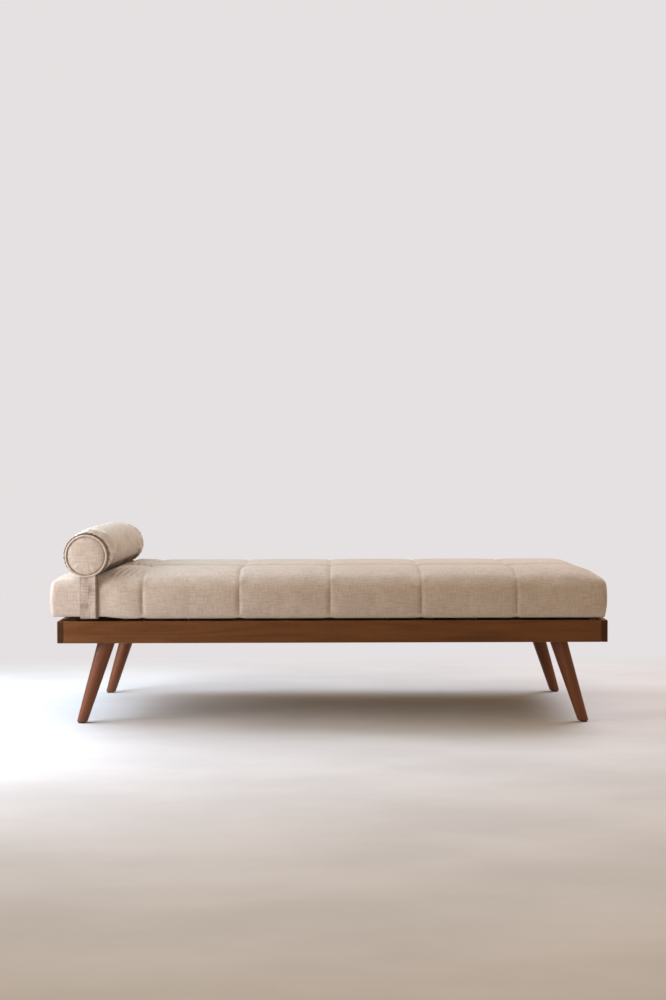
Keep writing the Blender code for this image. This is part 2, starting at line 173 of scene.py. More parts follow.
def soft_min(a, b, reach):
    """The lower of two heights, rounded where they meet."""
    near = np.clip(reach - np.abs(a - b), 0.0, None) / reach
    return np.minimum(a, b) - near * near * reach / 4.0


def new_object(name, data):
    """An object in the scene."""
    obj = bpy.data.objects.new(name, data)
    bpy.context.scene.collection.objects.link(obj)
    return obj


def mesh_piece(name, points, faces, cloth_uv=None, smooth=True, sharp=0.0):
    """A mesh object; cloth_uv holds a pair in metres for each face corner, sharp is in degrees."""
    mesh = bpy.data.meshes.new(name)
    mesh.from_pydata([tuple(map(float, p)) for p in points], [], faces)
    if cloth_uv:
        layer = mesh.uv_layers.new(name="cloth")
        layer.data.foreach_set("uv", np.asarray(cloth_uv, np.float32).ravel())
    mesh.polygons.foreach_set("use_smooth", [smooth] * len(mesh.polygons))
    mesh.update()
    if sharp:
        mesh.set_sharp_from_angle(angle=math.radians(sharp))
    return new_object(name, mesh)


def skin_rings(rings, cloth_at=None, start=False, end=False, looped=False):
    """Skin equal rings of points, capped at the start or end, with cloth coordinates."""
    count = len(rings[0])
    points = [p for ring in rings for p in ring]
    faces = []
    cloth = []
    for i in range(len(rings) - (not looped)):
        for k in range(count):
            quad = ((i, k), (i, k + 1), (i + 1, k + 1), (i + 1, k))
            faces.append(tuple(a % len(rings) * count + b % count for a, b in quad))
            if cloth_at:
                cloth.extend(cloth_at(a, b) for a, b in quad)
    caps = [reversed(range(count))] * start + [range(len(points) - count, len(points))] * end
    faces.extend(tuple(cap) for cap in caps)
    if cloth_at:
        cloth.extend([cloth_at(0, 0)] * count * len(caps))
    return points, faces, cloth


def joined(parts):
    """Parts of (points, faces) as one."""
    points = []
    faces = []
    for part_points, part_faces, *_ in parts:
        faces.extend(tuple(len(points) + i for i in face) for face in part_faces)
        points.extend(part_points)
    return points, faces


def round_turns(count):
    """Even turns round a circle."""
    return [2 * math.pi * k / count for k in range(count)]


def points_of(obj, field="co"):
    """An object's mesh points as an array, or its outward directions there."""
    flat = np.empty(len(obj.data.vertices) * 3)
    obj.data.vertices.foreach_get(field, flat)
    return flat.reshape(-1, 3)


def set_points(obj, points):
    """Move an object's mesh points."""
    obj.data.vertices.foreach_set("co", np.asarray(points, np.float32).ravel())
    obj.data.update()


def subdivide(obj):
    """Apply one level of subdivision surface."""
    step = obj.modifiers.new("Subdivision", "SUBSURF")
    step.levels = 1
    bpy.context.view_layer.objects.active = obj
    with bpy.context.temp_override(object=obj, active_object=obj):
        bpy.ops.object.modifier_apply(modifier=step.name)


def relax(obj, share, rounds, hold):
    """Even out a skin by moving each free point towards the mean of its neighbours."""
    edges = np.empty(len(obj.data.edges) * 2, np.int64)
    obj.data.edges.foreach_get("vertices", edges)
    a, b = edges.reshape(-1, 2).T
    count = len(obj.data.vertices)
    valence = (np.bincount(a, minlength=count) + np.bincount(b, minlength=count))[:, None]
    free = share * (1.0 - hold)[:, None]
    points = points_of(obj)
    for _ in range(rounds):
        total = np.zeros_like(points)
        np.add.at(total, a, points[b])
        np.add.at(total, b, points[a])
        points = points + free * (total / valence - points)
    set_points(obj, points)


def bell(distance, half):
    """1 at 0, falling smoothly to 0 at half."""
    return 1.0 - soft_step(np.abs(distance) / half)


def ruffle(turns, low, high, seed):
    """Uneven pleats round a circle, about -1 to 1, with low to high waves in a turn."""
    rng = np.random.default_rng(seed)
    total = np.zeros_like(turns)
    for waves in range(low, high + 1):
        total += rng.uniform(0.3, 1.0) * np.sin(waves * turns + rng.uniform(0.0, 2.0 * math.pi))
    return total / math.sqrt(high - low + 1)


def paint_crease_shade(obj, amount):
    """Store how much shade to paint into the cloth's colour at each point, 0 to 2: painted shade in creases
    and where parts meet.
    """
    layer = obj.data.attributes.new("crease", "FLOAT", "POINT")
    layer.data.foreach_set("value", np.asarray(amount, np.float32))


def inflate(obj, hold, spare, cap):
    """Blow up a sewn cover as cloth: hold is 1 where it is stitched or rests, spare its extra cloth."""
    start = points_of(obj)
    group = obj.vertex_groups.new(name="held")
    group.add(np.nonzero(hold)[0].tolist(), 1.0, "REPLACE")
    step = obj.modifiers.new("Cloth", "CLOTH")
    for setting, value in CLOTH.items():
        setattr(step.settings, setting, value)
    step.settings.vertex_group_mass = group.name
    step.settings.shrink_min = -spare
    step.settings.effector_weights.gravity = 0.0
    step.collision_settings.use_collision = False
    step.collision_settings.use_self_collision = False
    step.point_cache.frame_start = 1
    step.point_cache.frame_end = CLOTH_FRAMES
    scene = bpy.context.scene
    for number in range(1, CLOTH_FRAMES + 1):
        scene.frame_set(number)
    moved = points_of(obj.evaluated_get(bpy.context.evaluated_depsgraph_get()))
    obj.modifiers.remove(step)
    obj.vertex_groups.remove(group)
    scene.frame_set(1)
    shift = moved - start
    length = np.maximum(np.linalg.norm(shift, axis=1), 1e-9)
    set_points(obj, start + shift * np.minimum(1.0, cap / length)[:, None])


# ---- node materials ----
def feed(node, inputs):
    """Set or link a node's inputs."""
    for key, value in inputs.items():
        if isinstance(value, bpy.types.NodeSocket):
            node.id_data.links.new(value, node.inputs[key])
        else:
            node.inputs[key].default_value = value


def add(tree, kind, inputs=None, **settings):
    """A shader node with its settings, values and links."""
    node = tree.nodes.new(kind)
    for key, value in settings.items():
        setattr(node, key, value)
    feed(node, inputs or {})
    return node


def maths(operation, a, b=0.0, clamp=False):
    """A maths node's result."""
    node = add(a.id_data, "ShaderNodeMath", {0: a, 1: b}, operation=operation, use_clamp=clamp)
    return node.outputs[0]


def times(a, b):
    """Two values multiplied."""
    return maths("MULTIPLY", a, b)


def plus(a, b):
    """Two values added."""
    return maths("ADD", a, b)


def ramp(value, low, high, out_low=0.0, out_high=1.0):
    """A value carried smoothly from one range to another."""
    inputs = {"Value": value, "From Min": low, "From Max": high, "To Min": out_low, "To Max": out_high}
    node = add(value.id_data, "ShaderNodeMapRange", inputs, interpolation_type="SMOOTHSTEP")
    return node.outputs[0]


def mix_colour(factor, a, b, mode="MIX"):
    """Two colours mixed."""
    tree = next(v.id_data for v in (factor, a, b) if isinstance(v, bpy.types.NodeSocket))
    ends = [v if isinstance(v, bpy.types.NodeSocket) else (*v, 1.0) for v in (a, b)]
    inputs = {0: factor, 6: ends[0], 7: ends[1]}
    return add(tree, "ShaderNodeMix", inputs, data_type="RGBA", blend_type=mode).outputs[2]


def noise_at(vector, scale, detail=3.0, rough=0.55):
    """Noise at a place stretched by a scale for each axis."""
    tree = vector.id_data
    place = add(tree, "ShaderNodeMapping", {"Vector": vector, "Scale": scale}).outputs[0]
    inputs = {"Vector": place, "Scale": 1.0, "Detail": detail, "Roughness": rough}
    return add(tree, "ShaderNodeTexNoise", inputs).outputs["Fac"]


def new_material(name):
    """A material, its tree and its shader."""
    material = bpy.data.materials.new(name)
    material.use_nodes = True
    tree = material.node_tree
    return material, tree, tree.nodes["Principled BSDF"]


def finish_shader(shader, colour, rough, bumps, settings=None):
    """Wire a shader: colour, roughness, other settings, and bumps of (height, metres, strength)."""
    feed(shader, {"Base Color": colour, "Roughness": rough} | (settings or {}))
    normal = {}
    for height, depth, strength in bumps:
        inputs = {"Height": height, "Distance": depth, "Strength": strength} | normal
        normal = {"Normal": add(shader.id_data, "ShaderNodeBump", inputs).outputs[0]}
    feed(shader, normal)


def linen(name, light, dark, contrast=1.0):
    """A slubby plain weave: uneven threads both ways, in metres of cloth."""
    material, tree, shader = new_material(name)
    cloth = add(tree, "ShaderNodeUVMap", uv_map="cloth").outputs[0]
    wander = noise_at(cloth, (7.0, 7.0, 1.0), 2.0)
    weft = noise_at(cloth, (22.0, 330.0, 1.0), 3.0, 0.65)
    warp = noise_at(cloth, (350.0, 26.0, 1.0), 3.0, 0.65)
    weft_slub = ramp(noise_at(cloth, (34.0, 640.0, 1.0), 2.0), 0.60, 0.74)
    warp_slub = ramp(noise_at(cloth, (620.0, 40.0, 1.0), 2.0), 0.62, 0.76)
    threads = plus(times(weft, 0.55), times(warp, 0.45))
    patch = times(noise_at(cloth, (70.0, 70.0, 1.0), 3.0), 0.16)
    tone = plus(plus(threads, patch), times(wander, 0.14))
    spread = 0.19 / contrast
    colour = mix_colour(ramp(tone, 0.65 - spread, 0.65 + spread), dark, light)
    slub = maths("MAXIMUM", weft_slub, warp_slub)
    pale = tuple(min(1.0, c * 1.16) for c in light)
    colour = mix_colour(times(slub, 0.55), colour, pale)
    # painted shade: the crease attribute darkens the colour, to near black past 1
    crease = add(tree, "ShaderNodeAttribute", attribute_name="crease").outputs["Fac"]
    deep = mix_colour(1.0, colour, PAINTED_CREASE_SHADE, "MULTIPLY")
    colour = mix_colour(crease, colour, deep)
    deepest = mix_colour(1.0, deep, PAINTED_DEEPEST_SHADE, "MULTIPLY")
    colour = mix_colour(maths("SUBTRACT", crease, 1.0, True), colour, deepest)
    fine_weft = noise_at(cloth, (150.0, 1500.0, 1.0), 1.0)
    fine_warp = noise_at(cloth, (1500.0, 150.0, 1.0), 1.0)
    weave = maths("MAXIMUM", fine_weft, fine_warp)
    bumps = ((threads, 0.0011, 0.5), (slub, 0.0005, 0.5), (weave, 0.0004, 0.5))
    sheen = {"Sheen Weight": 0.10, "Sheen Roughness": 0.55, "Sheen Tint": (1.0, 0.97, 0.92, 1.0)}
    sheen["Specular IOR Level"] = 0.2
    finish_shader(shader, colour, ramp(slub, 0.0, 1.0, 0.92, 0.80), bumps, sheen)
    return material


def thread(name, light, dark):
    """Waxed sewing thread, twisted."""
    material, tree, shader = new_material(name)
    where = add(tree, "ShaderNodeTexCoord").outputs["Object"]
    twist = noise_at(where, (1400.0, 1400.0, 1400.0), 2.0)
    colour = mix_colour(ramp(twist, 0.35, 0.65), dark, light)
    rough = ramp(twist, 0.3, 0.7, 0.55, 0.75)
    finish_shader(shader, colour, rough, [(twist, 0.0002, 0.6)], {"Sheen Weight": 0.1})
    return material


def timber(name, light, dark, grain, rough, end_shade=0.55, edge_wear_and_highlight=0.0, figure=1.0, gloss=0.18, spread=0.25):
    """Stained or plain wood with its grain along axis number `grain` of the object."""
    material, tree, shader = new_material(name)
    place = add(tree, "ShaderNodeTexCoord")
    where, facing = place.outputs["Object"], place.outputs["Normal"]

    def scale(along, across):
        return tuple(along if axis == grain else across for axis in range(3))

    warp = noise_at(where, scale(0.9, 11.0), 2.0)
    rings = ramp(maths("SINE", times(warp, 46.0 * figure)), -1.3, 1.3)
    fibre = noise_at(where, scale(7.0, 330.0), 4.0, 0.7)
    cloud = noise_at(where, scale(2.2, 16.0), 3.0)
    pores = ramp(noise_at(where, scale(40.0, 900.0), 1.0), 0.60, 0.72)
    tone = plus(plus(times(rings, 0.13), times(fibre, 0.52)), times(cloud, 0.55))
    colour = mix_colour(ramp(tone, 0.59 - spread, 0.59 + spread), dark, light)
    colour = mix_colour(times(pores, 0.45), colour, tuple(c * 0.45 for c in dark))
    along = add(tree, "ShaderNodeSeparateXYZ", {0: facing}).outputs[grain]
    end = ramp(maths("ABSOLUTE", along), 0.6, 0.9)
    colour = mix_colour(end, colour, mix_colour(1.0, colour, [end_shade] * 3, "MULTIPLY"))
    # edges painted lighter: partly wear, partly a painted highlight where the edges catch the light
    if edge_wear_and_highlight > 0.0:
        eased = add(tree, "ShaderNodeBevel", {"Radius": 0.0045}, samples=4).outputs[0]
        plain = add(tree, "ShaderNodeNewGeometry").outputs["Normal"]
        dot = add(tree, "ShaderNodeVectorMath", {0: eased, 1: plain}, operation="DOT_PRODUCT")
        rub = times(ramp(dot.outputs["Value"], 0.995, 0.86), ramp(cloud, 0.35, 0.65, 0.35, 1.0))
        pale = tuple(min(1.0, c * 2.1) for c in light)
        colour = mix_colour(times(rub, edge_wear_and_highlight), colour, pale)
    bumps = ((fibre, 0.0004, 0.25), (pores, -0.0003, 0.35))
    rough = ramp(fibre, 0.3, 0.7, rough - 0.05, rough + 0.09)
    finish_shader(shader, colour, rough, bumps, {"Specular IOR Level": gloss})
    return material


def metal(name, colour, rough, brushed=0.5):
    """Plated steel with fine rub marks."""
    material, tree, shader = new_material(name)
    where = add(tree, "ShaderNodeTexCoord").outputs["Object"]
    rub = noise_at(where, (90.0, 90.0, 1400.0), 3.0)
    spots = noise_at(where, (130.0, 130.0, 130.0), 2.0)
    colour = mix_colour(ramp(spots, 0.35, 0.7), tuple(c * 0.72 for c in colour), colour)
    rough = ramp(rub, 0.3, 0.7, rough - 0.08, rough + 0.10)
    finish_shader(shader, colour, rough, [(rub, 0.00008, brushed)], {"Metallic": 1.0})
    return material


def plastic(name, colour, rough):
    """Moulded plastic with a fine moulding grain."""
    material, tree, shader = new_material(name)
    where = add(tree, "ShaderNodeTexCoord").outputs["Object"]
    grain = noise_at(where, (1800.0, 1800.0, 1800.0), 2.0)
    scuff = noise_at(where, (160.0, 160.0, 160.0), 3.0)
    pale = tuple(min(1.0, c * 1.9 + 0.01) for c in colour)
    colour = mix_colour(ramp(scuff, 0.5, 0.8), colour, pale)
    finish_shader(shader, colour, ramp(scuff, 0.3, 0.7, rough, rough + 0.15), [(grain, 0.0001, 0.4)])
    return material


# ---- materials ----
WALNUT_LIGHT = (0.188, 0.073, 0.0215)
WALNUT_DARK = (0.088, 0.031, 0.0085)
LINEN = linen("linen_oatmeal", (0.600, 0.513, 0.435), (0.410, 0.334, 0.270))
LINEN_STRAP = linen("linen_strap", (0.640, 0.552, 0.473), (0.350, 0.282, 0.226), 1.3)
TAPE = linen("zip_tape_weave", (0.47, 0.40, 0.33), (0.34, 0.28, 0.225), 0.7)
THREAD = thread("stitch_thread", (0.62, 0.54, 0.46), (0.46, 0.39, 0.32))
RAIL_LONG = timber("walnut_rail_long", WALNUT_LIGHT, WALNUT_DARK, 0, 0.46, edge_wear_and_highlight=0.4, spread=0.42)
RAIL_SIDE = timber("walnut_rail_side", WALNUT_LIGHT, WALNUT_DARK, 1, 0.46, 0.42, edge_wear_and_highlight=0.4, spread=0.42)
LEG_LIGHT = (0.208, 0.068, 0.0245)
LEG_DARK = (0.094, 0.028, 0.0095)
LEG_WOOD = timber("walnut_leg", LEG_LIGHT, LEG_DARK, 2, 0.36, figure=0.8, gloss=0.30)
DECK_DARK = [c * 0.5 for c in SLOTS["deck_timber"]]
DECK_X = timber("deck_timber_x", SLOTS["deck_timber"], DECK_DARK, 0, 0.7, 0.8, gloss=0.05)
DECK_Y = timber("deck_timber_y", SLOTS["deck_timber"], DECK_DARK, 1, 0.7, 0.8, gloss=0.05)
ZINC = metal("zinc_plate", SLOTS["zinc_steel"], 0.36)
SCREW_BLACK = metal("screw_black", (0.085, 0.080, 0.075), 0.5)
ZIP_METAL = metal("zip_antique", SLOTS["zip_metal"], 0.38)
NYLON = plastic("nylon_glide", SLOTS["glide_nylon"], 0.5)


def dress(obj, material):
    """Give an object one material."""
    obj.data.materials.clear()
    obj.data.materials.append(material)


def place_piece(obj, material, slot, body, *replaced):
    """Give a piece its material and body, and hide the nodes it takes the place of; its slot is not used."""
    dress(obj, material)
    if replaced:
        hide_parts(*replaced)
    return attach(obj, body)


FINISHES = (  # the first that fits a node's name
    (RAIL_SIDE, ("side_rail",)),
    (RAIL_LONG, ("rail_",)),
    (DECK_X, ("slat_cleat", "centre_beam")),
    (DECK_Y, ("slat_", "leg_bearer", "corner_block")),
    (ZINC, ("leg_plate", "hanger_bolt")),
    (NYLON, ("foot_glide",)),
)
for node_name, node in NODES.items():
    for node_finish, starts in FINISHES:
        if node_name.startswith(starts):
            dress(node, node_finish)
            break


# ---- bolster ----
def bolster_place():
    """The bolster's centre, its turn about Z, its half length and the height it rests at."""
    front = sum(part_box("bolster_end_front"), Vector()) / 2
    back = sum(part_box("bolster_end_back"), Vector()) / 2
    sleeve_low, sleeve_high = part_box("bolster_sleeve")
    centre = (front + back) / 2
    centre.z = sleeve_high.z - SLEEVE_RADIUS
    yaw = -math.atan2(back.x - front.x, back.y - front.y)
    return centre, yaw, (back - front).length / 2 - 0.0013, sleeve_low.z


def make_bolster(centre, yaw, half, base):
    """The stuffed bolster: a sleeve gathered to a recessed round panel at each end."""
    shares = [i / DISC_RINGS for i in range(1, DISC_RINGS + 1)]
    disc = [(half + DISC_CROWN * (1.0 - t**4) - DISC_RECESS, RIM_RADIUS * t) for t in shares]
    stations = [(-y, radius, "disc") for y, radius in disc]
    for i in range(SLEEVE_RINGS + 1):
        share = 2 * i / SLEEVE_RINGS - 1
        radius = RIM_RADIUS + RIM_STEP + SLEEVE_SWELL * (1 - abs(share) ** 3.2)
        stations.append((share * (half - 0.0015), radius, "sleeve"))
    stations += [(y, radius, "disc") for y, radius in reversed(disc)]
    turns = np.array(round_turns(BOLSTER_SIDES))
    drop = centre.z - base - 0.0002
    rings = []
    for y, radius, kind in stations:
        height = radius * np.cos(turns)
        rest = drop / RIM_RADIUS if kind == "disc" else min(1.0, drop / radius)
        z = np.where(height > 0, height, height * rest)
        rings.append(np.stack([radius * np.sin(turns), np.full_like(turns, y), z], axis=1))

    def cloth_at(layer, turn):
        y, radius, kind = stations[layer]
        angle = turn * 2 * math.pi / BOLSTER_SIDES
        if kind == "disc":
            return (radius * math.sin(angle) + (2.0 if y > 0 else 1.0), radius * math.cos(angle))
        return (y, angle * SLEEVE_RADIUS + 4.0)

    points, faces, cloth = skin_rings(rings, cloth_at)
    first = len(points)
    tip = half + DISC_CROWN - DISC_RECESS
    points += [(0.0, -tip, 0.0), (0.0, tip, 0.0)]
    last = len(stations) - 1
    for i in range(BOLSTER_SIDES):
        j = (i + 1) % BOLSTER_SIDES
        faces.append((first, j, i))
        cloth.extend(((1.0, 0.0), cloth_at(0, i + 1), cloth_at(0, i)))
        faces.append((first + 1, last * BOLSTER_SIDES + i, last * BOLSTER_SIDES + j))
        cloth.extend(((2.0, 0.0), cloth_at(last, i), cloth_at(last, i + 1)))
    bolster = mesh_piece("bolster", points, faces, cloth)
    grid = points_of(bolster)
    layer = np.minimum(np.arange(len(grid)) // BOLSTER_SIDES, last + 1)
    back_rim = DISC_RINGS + SLEEVE_RINGS
    on_disc = (layer < DISC_RINGS) | (layer > back_rim)
    on_rim = np.isin(layer, (DISC_RINGS - 1, DISC_RINGS, back_rim, back_rim + 1))
    hold = np.where(on_rim | (grid[:, 2] < 0.004 - drop), 1.0, 0.0)
    sleeve_cap = SLEEVE_CAP * (0.2 + 0.8 * soft_step((half - np.abs(grid[:, 1])) / 0.06))
    inflate(bolster, hold, 0.035, np.where(on_disc, DISC_CAP, sleeve_cap))
    relax(bolster, 0.3, 1, hold)
    subdivide(bolster)

    # pleats where the cloth is gathered into the end seams
    points = points_of(bolster)
    x, y, z = points.T
    radius = np.maximum(np.hypot(x, z), 1e-6)
    angle = np.arctan2(x, z)
    from_end = half - np.abs(y)
    flat = (from_end < 0.0012) & (radius < RIM_RADIUS + 0.001)
    cord_edge = PIPING_LOOP - PIPING_RADIUS
    spread = soft_step((radius - 0.026) / 0.022) * (1.0 - soft_step((radius - cord_edge + 0.004) / 0.004))
    pleats = np.where(y > 0, ruffle(angle, 5, 19, 5), ruffle(angle, 5, 19, 8))
    pleats *= 0.15 + 0.85 * soft_step(0.30 - 0.70 * np.cos(angle)) * (0.4 + 0.6 * np.abs(np.sin(angle)))
    points[:, 1] += np.where(y > 0, 1.0, -1.0) * flat * PLEAT_HEIGHT * spread * pleats
    gathers = np.where(y > 0, ruffle(angle, 16, 34, 3), ruffle(angle, 16, 34, 11))
    reach = np.exp(-np.clip(from_end, 0.0, None) / GATHER_REACH) * (radius > 0.074) * (from_end > 0.0035)
    swell = (z > 0.01 - drop) * GATHER_HEIGHT * reach * gathers / radius
    points[:, 0] += x * swell
    points[:, 2] += z * swell
    points[:, 2] = np.maximum(points[:, 2], -drop)
    set_points(bolster, points)

    # painted shade: darker behind the piping, round the sleeve's rim at each end and on the upper left of the
    # front end's rim, low on the side over the mattress, and in the gathers
    # outer is 1 on the upper left of each end and 0 on the lower right, so the painted shade follows the
    # light from the upper left: darker on the rim there, and darker behind the piping on the lower right
    outer = soft_step((np.cos(angle + 0.9) + 0.25) / 0.6)
    groove = 0.75 * bell(radius - cord_edge + 0.001, 0.0045) * flat * (1.0 - 0.7 * outer)
    seam = 0.9 * (1.0 - soft_step((from_end - 0.006) / 0.010))
    seam += 0.8 * outer * (y < 0) * (1.0 - soft_step((from_end - 0.003) / 0.005))
    seam *= radius > RIM_RADIUS + 0.0008
    belly = 1.25 * soft_step((-z - 0.030) / 0.016) * (x > 0.0) * ~flat
    gathered = 0.35 * reach * np.clip(-gathers, 0.0, 1.0)
    paint_crease_shade(bolster, np.maximum.reduce([groove, seam, belly, gathered]))
    bolster.location = centre
    bolster.rotation_euler.z = yaw
    stands_for = ("bolster_core", "bolster_sleeve", "bolster_end_front", "bolster_end_back")
    place_piece(bolster, LINEN, "linen", "bolster", *stands_for)
    return bolster


def make_piping(face, centre, yaw, half, base):
    """A cord in bias-cut cloth round one end seam."""
    y = (half + PIPING_OUT) * (-1.0 if face == "front" else 1.0)
    down = (centre.z - base - PIPING_RADIUS) / PIPING_LOOP
    cord_turns = round_turns(PIPING_SIDES)
    side = Vector((0.0, -1.0, 0.0))
    rings = []
    for turn in round_turns(PIPING_STEPS):
        out = Vector((math.sin(turn), 0.0, math.cos(turn)))
        h = PIPING_LOOP * math.cos(turn)
        pucker = 0.0005 * math.sin(9 * turn) + 0.0003 * math.sin(23 * turn + 1.0)
        middle = Vector((PIPING_LOOP * math.sin(turn), y + pucker, h if h > 0 else h * down))
        rings.append([middle + PIPING_RADIUS * (math.cos(t) * out + math.sin(t) * side) for t in cord_turns])

    def cloth_at(i, k):
        return i * 0.0036 + 7.0, k * 2 * math.pi * PIPING_RADIUS / PIPING_SIDES

    piping = mesh_piece(f"bolster_cord_{face}", *skin_rings(rings, cloth_at, looped=True))
    piping.location = centre
    piping.rotation_euler.z = yaw
    place_piece(piping, LINEN, "linen", "bolster", f"bolster_piping_{face}")


bolster_centre, bolster_yaw, bolster_half, bolster_base = bolster_place()
bolster = make_bolster(bolster_centre, bolster_yaw, bolster_half, bolster_base)
for face in ("front", "back"):
    make_piping(face, bolster_centre, bolster_yaw, bolster_half, bolster_base)


# ---- mattress ----
def grid_lines(low, high, seams, step):
    """Positions from low to high, even between seams, with a close pair beside each seam."""
    stops = [low, *seams, high]
    lines = set(stops)
    for a, b in zip(stops, stops[1:]):
        count = max(1, round((b - a) / step))
        lines.update(a + (b - a) * i / count for i in range(1, count))
    for seam in seams:
        lines.update((seam - BESIDE_SEAM, seam + BESIDE_SEAM))
    return sorted(lines)


def box_skin(xs, ys, zs):
    """The skin of a box on grid lines, with its cover's flat cloth coordinates."""
    index = {}
    points = []
    faces = []
    cloth = []
    last = (len(xs) - 1, len(ys) - 1, len(zs) - 1)

    def corner(i, j, k):
        key = (i, j, k)
        if key not in index:
            index[key] = len(points)
            points.append((xs[i], ys[j], zs[k]))
        return index[key]

    def panel(a_axis, b_axis, fixed, end, turned, unfold):
        for a, b in itertools.product(range(last[a_axis]), range(last[b_axis])):
            quad = []
            for da, db in ((0, 0), (1, 0), (1, 1), (0, 1)):
                place = [last[fixed] * end] * 3
                place[a_axis] = a + da
                place[b_axis] = b + db
                quad.append(tuple(place))
            if turned:
                quad.reverse()
            faces.append([corner(*place) for place in quad])
            cloth.extend(unfold(xs[i], ys[j], zs[k]) for i, j, k in quad)

    top = zs[-1]
    panel(0, 1, 2, True, False, lambda x, y, z: (x, y))
    panel(0, 1, 2, False, True, lambda x, y, z: (x, y - 2.0))
    panel(0, 2, 1, False, False, lambda x, y, z: (x, ys[0] - (top - z)))
    panel(0, 2, 1, True, True, lambda x, y, z: (x, ys[-1] + (top - z)))
    panel(1, 2, 0, True, False, lambda x, y, z: (xs[-1] + (top - z), y))
    panel(1, 2, 0, False, True, lambda x, y, z: (xs[0] - (top - z), y))
    return np.array(points), faces, cloth


def round_off(points, low, high):
    """Round a box's edges, more on top than below."""
    middle = (low[2] + high[2]) / 2
    radii = np.full_like(points, END_ROUND)
    radii[:, 1] += (SIDE_ROUND - END_ROUND) * soft_step((points[:, 2] - middle) / (high[2] - middle) * 2.0)
    radii[:, 2] = np.where(points[:, 2] > middle, TOP_ROUND, LOW_ROUND)
    inner = np.clip(points, low + radii, high - radii)
    out = (points - inner) / radii
    length = np.linalg.norm(out, axis=1, keepdims=True)
    return inner + out / np.maximum(length, 1.0e-9) * radii


def pad_share(values, stops):
    """1 in the middle between two stops, falling to 0 at each."""
    stops = np.array(stops)
    cell = np.clip(np.searchsorted(stops, values, side="right") - 1, 0, len(stops) - 2)
    across = (values - stops[cell]) / (stops[cell + 1] - stops[cell]) * 2.0 - 1.0
    return 1.0 - np.abs(across) ** 2.4


def nearest(values, stops):
    """Distance to the nearest stop."""
    return np.min(np.abs(values[:, None] - np.array(stops)[None, :]), axis=1)


def keep_under(points, above, rows):
    """Lower the chosen points that would touch the piece above them."""
    for i in rows:
        x, y, z = points[i]
        hit = above.ray_cast(Vector((x, y, EDGE_Z - 0.05)), Vector((0.0, 0.0, 1.0)))[0]
        if hit is not None:
            points[i, 2] = min(z, hit.z - CLEAR)


